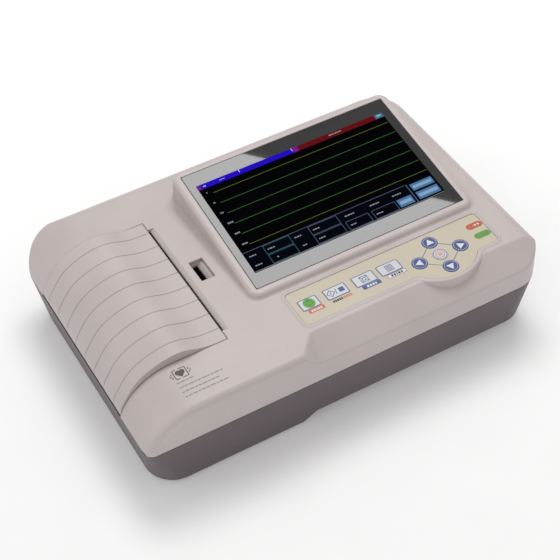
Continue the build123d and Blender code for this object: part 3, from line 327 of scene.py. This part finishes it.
def flatBox(x, y, wide, tall, turn=0.0):
    bpy.ops.mesh.primitive_plane_add(size=1, location=(x * mm, y * mm, 0), rotation=(0, 0, turn))
    shape = bpy.context.object
    shape.scale = (wide * mm, tall * mm, 1)
    settle(shape)
    return shape


def hollowOut(shape, line):
    # insets the only face and takes its middle away, which leaves an outline
    editAll(shape)
    bpy.ops.mesh.inset(thickness=line * mm, depth=0)
    bpy.ops.mesh.delete(type='FACE')
    bpy.ops.object.mode_set(mode='OBJECT')
    return shape


def flatPill(x, y, wide, tall, corner):
    # a box with its corners rounded
    shape = flatBox(x, y, wide, tall)
    editAll(shape)
    bpy.ops.mesh.bevel(offset=corner * mm, segments=5, affect='VERTICES')
    bpy.ops.object.mode_set(mode='OBJECT')
    return shape


def flatFrame(x, y, wide, tall, line, corner=0.0):
    shape = flatPill(x, y, wide, tall, corner) if corner else flatBox(x, y, wide, tall)
    return hollowOut(shape, line)


def flatDisc(x, y, radius, corners=40, turn=0.0):
    bpy.ops.mesh.primitive_circle_add(vertices=corners, radius=radius * mm, fill_type='NGON',
                                      location=(x * mm, y * mm, 0), rotation=(0, 0, turn))
    shape = bpy.context.object
    settle(shape)
    return shape


def flatRing(x, y, radius, line, corners=40, turn=0.0):
    return hollowOut(flatDisc(x, y, radius, corners, turn), line)


def flatStroke(x0, y0, x1, y1, line):
    long = ((x1 - x0) ** 2 + (y1 - y0) ** 2) ** 0.5
    return flatBox((x0 + x1) / 2, (y0 + y1) / 2, long, line, atan2(y1 - y0, x1 - x0))


def flatHeart(x, y, size):
    # a square on its corner, with half a disc on each of its two upper edges
    shapes = [flatBox(x, y, size, size, pi / 4)]
    reach = size / 2 * cos(pi / 4)
    for side in (-1, 1):
        lobe = flatDisc(x + side * reach, y + reach, size / 2, 48, pi / 48)
        editAll(lobe)
        bpy.ops.mesh.bisect(plane_co=((x + side * reach) * mm, (y + reach) * mm, 0),
                            plane_no=(side, 1, 0), clear_inner=True)
        bpy.ops.object.mode_set(mode='OBJECT')
        shapes.append(lobe)
    return shapes


def rowOfDashes(x, y, widths, gap, tall):
    shapes = []
    at = x
    for wide in widths:
        shapes.append(flatBox(at + wide / 2, y, wide, tall))
        at += wide + gap
    return shapes


def flatten(shapes):
    out = []
    for shape in shapes:
        out.extend(flatten(shape) if isinstance(shape, list) else [shape])
    return out


def joinAs(name, shapes):
    shapes = flatten(shapes)
    pick(*shapes)
    if len(shapes) > 1:
        bpy.ops.object.join()
    piece = bpy.context.object
    piece.name = name
    return piece


def thicken(piece, thick):
    editAll(piece)
    bpy.ops.mesh.extrude_region_move(TRANSFORM_OT_translate={"value": (0, 0, thick * mm)})
    bpy.ops.mesh.select_all(action='SELECT')
    bpy.ops.mesh.normals_make_consistent(inside=False)
    bpy.ops.object.mode_set(mode='OBJECT')


def dress(piece, finish, body):
    piece.data.materials.clear()
    piece.data.materials.append(finish)
    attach(piece, body)
    return piece


def printPiece(name, shapes, finish, body, place, level, thick=0.04):
    piece = joinAs(name, shapes)
    thicken(piece, thick)
    piece.matrix_world = place @ Matrix.Translation((0, 0, level))
    settle(piece)
    return dress(piece, finish, body)


inks = {
    "blue": ink("blueInk", (0.05, 0.10, 0.32)),
    "white": ink("whiteInk", (0.75, 0.76, 0.78)),
    "green": ink("greenInk", (0.115, 0.40, 0.045)),
    "deepGreen": ink("deepGreenInk", (0.05, 0.2, 0.03)),
    "orange": ink("orangeInk", (0.66, 0.15, 0.07)),
    "black": ink("blackInk", (0.02, 0.02, 0.024)),
    "grey": ink("greyInk", (0.075, 0.068, 0.06)),
    "faintGrey": ink("faintGreyInk", (0.31, 0.275, 0.265)),
}
keyNames = ["power", "start", "mode", "print", "up", "down", "left", "right", "enter"]
deckPlane = Matrix()  # the keypad is level, so its plane has no turn
keyAt = {k: tuple(middleOf(k + "_key").xy / mm) for k in keyNames}
keySize = {k: tuple((Vector(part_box(k + "_key")[1]) - Vector(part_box(k + "_key")[0])).xy / mm)
           for k in keyNames}
keyLevel = topOf("enter_key")
filmLevel = topOf("keypad_film")

keyMarks = {"outline": 0.5, "corner": 0.9, "arrow": 3.4, "rim": 0.22, "overprint": 0.00005}


def keyPrint(key, tone, shapes, suffix, lift=0.0):
    return printPiece(key + "Key" + suffix, shapes, inks[tone], key + "_key",
                      deckPlane, keyLevel + lift)



# outlines of the four wide keys
for key in ("power", "start", "mode", "print"):
    x, y = keyAt[key]
    wide, tall = keySize[key]
    keyPrint(key, "blue", [flatFrame(x, y, wide - 0.1, tall - 0.1, keyMarks["outline"],
                                     keyMarks["corner"])], "Outline")

# power: a green disc with a darker ring and a small mark
x, y = keyAt["power"]
keyPrint("power", "green", [flatDisc(x, y + 0.1, 4.35)], "Disc")
keyPrint("power", "deepGreen", [flatRing(x, y + 0.1, 2.4, 0.45),
                                flatStroke(x, y + 0.7, x, y + 3.3, 0.45)], "Symbol",
         keyMarks["overprint"])

# start and stop: a diamond outline, a stroke and a solid square
x, y = keyAt["start"]
keyPrint("start", "blue", [
    flatRing(x - 4.1, y, 3.3, 0.5, 4), flatStroke(x - 4.1, y - 1.0, x - 4.1, y + 1.0, 0.55),
    flatStroke(x - 0.5, y - 2.4, x + 0.5, y + 2.5, 0.45), flatBox(x + 4.2, y, 3.9, 3.9)], "Symbols")

# mode: a square outline round a ring and a dot
x, y = keyAt["mode"]
keyPrint("mode", "blue", [
    flatFrame(x, y, 5.8, 5.8, 0.45), flatRing(x, y, 1.6, 0.5),
    *[flatStroke(x + sx * 2.6, y + sy * 2.6, x + sx * 1.3, y + sy * 1.3, 0.4)
      for sx in (-1, 1) for sy in (-1, 1)]], "Symbols")

# print: a page with a few lines on it
x, y = keyAt["print"]
keyPrint("print", "blue", [
    flatFrame(x, y, 5.4, 5.8, 0.45),
    *[flatBox(x, y - 1.65 + 1.1 * i, 3.6, 0.5) for i in range(4)]], "Symbols")

# arrows, each with its tip away from the middle key
tips = {"up": pi / 2, "down": -pi / 2, "left": pi, "right": 0.0}
for key, turn in tips.items():
    x, y = keyAt[key]
    # a three-cornered circle has its first corner at +Y
    keyPrint(key, "white", [flatDisc(x, y, keyMarks["arrow"], 3, turn - pi / 2),
                            flatRing(x, y, 4.75, keyMarks["rim"])], "Arrow")

# enter: a blue ring round an orange page mark
x, y = keyAt["enter"]
keyPrint("enter", "blue", [flatRing(x, y, 4.95, 0.5)], "Ring")
keyPrint("enter", "orange", [flatRing(x, y, 3.3, 0.5),
                             *[flatBox(x, y + 1.05 * i, 3.8 - abs(i) * 1.0, 0.5)
                               for i in (-1, 0, 1)]], "Symbol")

# film: lines between the arrows, label boxes and dashes in place of words
filmMarks = {"line": 0.46, "rim": 5.8, "rimLine": 0.16, "labelTall": 3.5, "labelWide": 0.86,
             "labelShift": 1.8, "labelGap": 0.35, "labelCorner": 0.4, "labelLine": 0.26,
             "wordTall": 1.9}


def filmPrint(name, tone, shapes, lift=0.0):
    return printPiece(name, shapes, inks[tone], "case", deckPlane,
                      filmLevel + lift)


def link(a, b):
    # a line between two round keys that stops at their rims
    (x0, y0), (x1, y1) = keyAt[a], keyAt[b]
    long = ((x1 - x0) ** 2 + (y1 - y0) ** 2) ** 0.5
    cut = filmMarks["rim"] / long
    return flatStroke(x0 + (x1 - x0) * cut, y0 + (y1 - y0) * cut,
                      x1 - (x1 - x0) * cut, y1 - (y1 - y0) * cut, filmMarks["line"])


filmPrint("arrowLinks", "blue", [link("up", "right"), link("right", "down"),
                                 link("down", "left"), link("left", "up")])
filmPrint("arrowRims", "blue", [flatRing(*keyAt[k], filmMarks["rim"], filmMarks["rimLine"])
                                for k in tips])

labels = {}
for key in ("power", "mode", "print"):
    x, y = keyAt[key]
    wide, tall = keySize[key]
    labels[key] = (x + filmMarks["labelShift"],
                   y - tall / 2 - filmMarks["labelGap"] - filmMarks["labelTall"] / 2,
                   wide * filmMarks["labelWide"])
labelInks = {"power": ("orange", "white", (1.1, 1.5, 0.9, 1.4, 1.2), 0.5),
             "mode": ("blue", "white", (1.7, 1.4, 1.5, 1.1), 0.6),
             "print": ("white", "black", (1.4, 1.3, 0.7, 1.5, 1.2), 0.7)}
for key, (ground, wordInk, widths, gap) in labelInks.items():
    lx, ly, lw = labels[key]
    reach = sum(widths) + gap * (len(widths) - 1)
    filmPrint(key + "Label", ground, [flatPill(lx, ly, lw, filmMarks["labelTall"],
                                                filmMarks["labelCorner"])])
    filmPrint(key + "LabelDashes", wordInk,
              rowOfDashes(lx - reach / 2, ly, widths, gap, filmMarks["wordTall"]),
              keyMarks["overprint"])
lx, ly, lw = labels["print"]
filmPrint("printLabelFrame", "blue", [flatFrame(
    lx, ly, lw, filmMarks["labelTall"], filmMarks["labelLine"], filmMarks["labelCorner"])],
    keyMarks["overprint"])
x, y = keyAt["start"]
low = y - keySize["start"][1] / 2 - 2.3
filmPrint("startDashes", "black", rowOfDashes(x - 6.5, low, (1.2, 1.1, 1.3, 1.2, 1.1), 0.4, 2.0))
filmPrint("stopDashes", "orange", rowOfDashes(x + 1.5, low, (0.5, 1.1, 1.1, 1.2, 1.1), 0.4, 2.0))
print("keypad printed")

# small marks on the two lamps
lampX, lampY = middleOf("lamp_lenses").xy / mm
printPiece("lampDashes", [flatBox(lampX + dx, lampY + 5.1, 1.3, 1.6) for dx in (0.8, 3.1)]
           + [flatBox(lampX - 0.6, lampY + 5.1, 1.0, 0.5)],
           inks["white"], "case", deckPlane, topOf("lamp_lenses"))

# the picture on the screen, as layers of lit marks
picture = {"wide": 154.08, "tall": 85.92, "shift": -0.6, "step": 0.00003, "thick": 0.02,
           "title": 0.052, "traceLine": 0.34,
           "level": heightOnFace("screen_glass") + 0.00002,
           "traces": 6, "firstTrace": 0.123, "traceGap": 0.1205, "infoTop": 0.785}
lit = {
    "ground": ink("pictureGround", (0.002, 0.002, 0.004), 0.22, 0.3),
    "blueBar": ink("pictureBlue", (0.020, 0.004, 0.58), 0.25, 0.9),
    "redBar": ink("pictureRed", (0.135, 0.005, 0.009), 0.25, 0.9),
    "violet": ink("pictureViolet", (0.22, 0.015, 0.35), 0.25, 0.8),
    "trace": ink("pictureTrace", (0.05, 0.19, 0.045), 0.25, 0.9),
    "olive": ink("pictureOlive", (0.13, 0.19, 0.035), 0.25, 0.9),
    "text": ink("pictureText", (0.32, 0.34, 0.38), 0.25, 0.9),
    "bright": ink("pictureBright", (0.8, 0.8, 0.85), 0.25, 0.9),
    "box": ink("pictureBox", (0.10, 0.14, 0.24), 0.25, 0.9),
    "boxTeal": ink("pictureBoxTeal", (0.05, 0.17, 0.20), 0.25, 0.9),
    "infoGround": ink("pictureInfo", (0.002, 0.003, 0.009), 0.22, 0.5),
    "button": ink("pictureButton", (0.085, 0.20, 0.38), 0.25, 0.9),
    "buttonLight": ink("pictureButtonLight", (0.24, 0.42, 0.63), 0.25, 0.9),
    "cyan": ink("pictureCyan", (0.1, 0.55, 0.6), 0.25, 0.9),
}


def onPicture(u, v):
    # u runs to the right and v down over the lit area, both from 0 to 1
    return ((u - 0.5) * picture["wide"] + picture["shift"], (0.5 - v) * picture["tall"])


def patch(u0, v0, u1, v1):
    (x0, y0), (x1, y1) = onPicture(u0, v0), onPicture(u1, v1)
    return flatBox((x0 + x1) / 2, (y0 + y1) / 2, abs(x1 - x0), abs(y1 - y0))


def outlined(u0, v0, u1, v1, line=0.32):
    (x0, y0), (x1, y1) = onPicture(u0, v0), onPicture(u1, v1)
    return flatFrame((x0 + x1) / 2, (y0 + y1) / 2, abs(x1 - x0), abs(y1 - y0), line)


def dashes(u, v, widths, tall=0.9, gap=0.5):
    x, y = onPicture(u, v)
    return rowOfDashes(x, y, widths, gap, tall)


def picturePiece(name, tone, shapes, layer):
    return printPiece(name, shapes, lit[tone], "case", toFace,
                      picture["level"] + layer * picture["step"], picture["thick"])


picturePiece("pictureGround", "ground", [patch(0, 0, 1, 1)], 0)
titleFoot = picture["title"]
picturePiece("titleBarBlue", "blueBar", [patch(0.02, 0, 0.5, titleFoot)], 1)
picturePiece("titleBarRed", "redBar", [patch(0.53, 0, 0.955, titleFoot)], 1)
picturePiece("titleBarViolet", "violet", [
    patch(0, 0, 0.02, titleFoot), patch(0.5, 0, 0.53, titleFoot)], 1)
picturePiece("batteryGround", "box", [patch(0.955, 0.002, 1, 0.05)], 1)
picturePiece("batterySign", "cyan", [
    patch(0.965, 0.012, 0.987, 0.032), patch(0.987, 0.018, 0.991, 0.026)], 2)
picturePiece("titleTicks", "bright", [
    patch(0.218, 0.0, 0.221, 0.03), patch(0.498, 0.0, 0.501, 0.03),
    *dashes(0.03, 0.028, (0.8, 0.8), 0.8, 0.4),
    *dashes(0.115, 0.027, (0.7, 0.5, 0.6, 0.5), 0.5)], 2)
picturePiece("titleDashes", "text", dashes(0.70, 0.022, (1.6, 1.2, 0.8, 1.8, 1.1, 1.3), 1.0), 2)

for i in range(picture["traces"]):
    v = picture["firstTrace"] + i * picture["traceGap"]
    tone = "olive" if i in (0, 5) else "trace"
    half = picture["traceLine"] / 2 / picture["tall"]
    picturePiece("trace%d" % (i + 1), tone, [patch(0.055, v - half, 0.995, v + half)], 1)
leadDashes = []
leadWidths = ((0.5,), (0.5, 0.5), (0.5, 0.5, 0.5), (1.2, 1.1, 1.2), (1.2, 1.1, 0.9),
              (1.2, 1.1, 1.1))
for i, widths in enumerate(leadWidths):
    v = picture["firstTrace"] + i * picture["traceGap"] - 0.022
    leadDashes += dashes(0.026, v, widths, 1.2, 0.35)
picturePiece("leadDashes", "text", leadDashes, 1)

top = picture["infoTop"]
row1, row2, foot = top + 0.008, 0.892, 0.985
picturePiece("infoGround", "infoGround", [patch(0.002, top, 0.998, 0.995)], 1)
picturePiece("infoBoxesTeal", "boxTeal", [
    outlined(0.098, row1, 0.232, row2 - 0.006), outlined(0.098, row2, 0.232, foot)], 2)
picturePiece("infoBoxes", "box", [
    outlined(0.33, row1, 0.478, row2 - 0.006), outlined(0.33, row2, 0.478, foot),
    outlined(0.496, row2, 0.616, foot), outlined(0.634, row2, 0.758, foot),
    patch(0.002, top, 0.85, top + 0.004), patch(0.855, top, 0.859, foot)], 2)
picturePiece("footLine", "text", [patch(0.004, 0.990, 0.998, 0.994)], 2)
texts = (dashes(0.02, 0.84, (1.4, 1.6, 1.2)) + dashes(0.02, 0.94, (1.5, 1.3, 1.3))
         + dashes(0.113, 0.84, (0.9, 2.2, 1.2)) + dashes(0.13, 0.94, (1.2,))
         + dashes(0.25, 0.84, (1.6, 1.7, 1.0)) + dashes(0.262, 0.94, (1.3, 1.2))
         + dashes(0.345, 0.84, (1.0, 1.7, 1.5)) + dashes(0.345, 0.94, (0.9, 1.6, 1.3))
         + dashes(0.512, 0.84, (1.8, 1.9, 1.2, 1.0)) + dashes(0.512, 0.94, (1.4, 1.0, 0.8))
         + dashes(0.645, 0.84, (1.7, 1.9, 1.3, 1.2)) + dashes(0.648, 0.94, (1.5, 1.2, 1.4))
         + dashes(0.765, 0.84, (1.8, 1.2, 1.6, 1.1)))
picturePiece("infoDashes", "text", texts, 2)
buttons = ((0.768, 0.893, 0.845, 0.975), (0.872, 0.80, 0.988, 0.872), (0.872, 0.893, 0.988, 0.972))
darker, lighter = [], []
for u0, v0, u1, v1 in buttons:
    darker.append(patch(u0, v0, u1, v1))
    third = (v1 - v0) / 3.4
    lighter.append(patch(u0 + 0.008, v0 + third, u1 - 0.008, v1 - third))
picturePiece("buttonGrounds", "button", darker, 2)
picturePiece("buttonLights", "buttonLight", lighter, 3)
print("picture drawn")

# the mark in front of the printer cover
deckMark = {"x": -113.9, "y": -73.4, "heart": 3.9, "frame": (9.4, 8.6), "line": 0.6,
            "lift": 0.02, "thick": 0.03, "beam": 0.5}


def drapeOnShell(name, shapes, tone):
    # lays flat shapes down on the curved top of the casing and thickens them
    piece = joinAs(name, shapes)
    piece.location.z = topOf("top_shell")
    settle(piece)
    wrap = piece.modifiers.new("layDown", 'SHRINKWRAP')
    wrap.target = nodes["top_shell"]
    wrap.wrap_method = 'PROJECT'
    wrap.use_project_z = True
    wrap.use_negative_direction = True
    wrap.use_positive_direction = False
    wrap.offset = deckMark["lift"] * mm
    applyAll(piece)
    thicken(piece, deckMark["thick"])
    return dress(piece, inks[tone], "case")


x, y = deckMark["x"], deckMark["y"]
wide, tall = deckMark["frame"]
drapeOnShell("heartMark", flatHeart(x, y - 0.5, deckMark["heart"]), "grey")
drapeOnShell("heartFrame", [
    flatFrame(x, y, wide, tall, deckMark["line"], 1.2),
    *[flatStroke(x + side * 5.9, y + dy - 0.9, x + side * 5.9, y + dy + 0.9, deckMark["beam"])
      for side in (-1, 1) for dy in (-1.4, 1.4)],
    *[flatStroke(x + side * 7.0, y - 1.0, x + side * 7.0, y + 1.0, deckMark["beam"])
      for side in (-1, 1)]],
    "grey")
words = (2.2, 3.4, 1.6, 2.9, 2.2, 3.8, 1.4, 2.6, 3.2, 1.8)
rows = ((-80.2, 4), (-84.3, 10), (-88.5, 9), (-92.6, 10))
lineDashes = []
for row, (rowY, count) in enumerate(rows):
    shift = [words[(i + row * 3) % len(words)] for i in range(count)]
    lineDashes += rowOfDashes(-119.8, rowY, shift, 0.6, 1.0)
drapeOnShell("plainDashes", lineDashes, "faintGrey")
print("deck marked")

# camera, light and floor
view = {"place": (-0.3379, -0.6358, 0.7823), "rise": 46.12, "swing": -27.99, "roll": -2.49,
        "lens": 93.45, "sensor": 36.0}
rise, swing, roll = (radians(view[k]) for k in ("rise", "swing", "roll"))
sideways = Vector((cos(swing), sin(swing), 0))
backward = Vector((sin(swing) * cos(rise), -cos(swing) * cos(rise), sin(rise)))
downward = (-backward).cross(sideways)
across = sideways * cos(roll) - downward * sin(roll)
down = sideways * sin(roll) + downward * cos(roll)
turned = Matrix((across, -down, backward)).transposed().to_4x4()
lensData = bpy.data.cameras.new("camera")
lensData.lens = view["lens"]
lensData.sensor_width = view["sensor"]
lensData.clip_end = 20
camera = bpy.data.objects.new("camera", lensData)
camera.matrix_world = Matrix.Translation(view["place"]) @ turned
bpy.context.scene.collection.objects.link(camera)
bpy.context.scene.camera = camera

bpy.ops.mesh.primitive_plane_add(size=14, location=(0, 0, 0))
floor = bpy.context.object
floor.name = "studioFloor"
floorPaper = moulded("floorPaper", (0.93, 0.93, 0.93), 0.75, 120, 0.02, 0.01)
floorShader = floorPaper.node_tree.nodes["Principled BSDF"]
floorShader.inputs['Emission Color'].default_value = (1, 1, 1, 1)
floorShader.inputs['Emission Strength'].default_value = 0.14  # keeps the paper white
floor.data.materials.append(floorPaper)

lights = {
    # the key light's edge shows in the glass, from its upper left to its lower right
    "keySoftbox": {"place": (0.39, 0.52, 1.5), "size": (0.9, 0.76), "power": 12, "turn": -40.6},
    "frontFill": {"place": (-0.9, -1.2, 1.1), "size": (1.4, 1.0), "power": 2.0, "aim": True},
    "leftFill": {"place": (-1.5, 0.3, 0.9), "size": (1.2, 1.0), "power": 2.5, "aim": True},
}
for name, light in lights.items():
    lamp = bpy.data.lights.new(name, 'AREA')
    lamp.shape = 'RECTANGLE'
    lamp.size, lamp.size_y = light["size"]
    lamp.energy = light["power"]
    holder = bpy.data.objects.new(name, lamp)
    holder.location = light["place"]
    if light.get("aim"):
        away = Vector(light["place"]) - Vector((0, 0, 0.05))
        holder.rotation_euler = away.to_track_quat('Z', 'Y').to_euler()
    else:
        holder.rotation_euler = (0, 0, radians(light["turn"]))
    bpy.context.scene.collection.objects.link(holder)

world = bpy.data.worlds.new("studioRoom")
world.use_nodes = True
world.node_tree.nodes["Background"].inputs['Color'].default_value = (1.0, 0.99, 0.985, 1)
world.node_tree.nodes["Background"].inputs['Strength'].default_value = 0.50
bpy.context.scene.world = world
bpy.context.scene.view_settings.view_transform = 'Standard'
bpy.context.scene.view_settings.look = 'None'

print("scene ready")
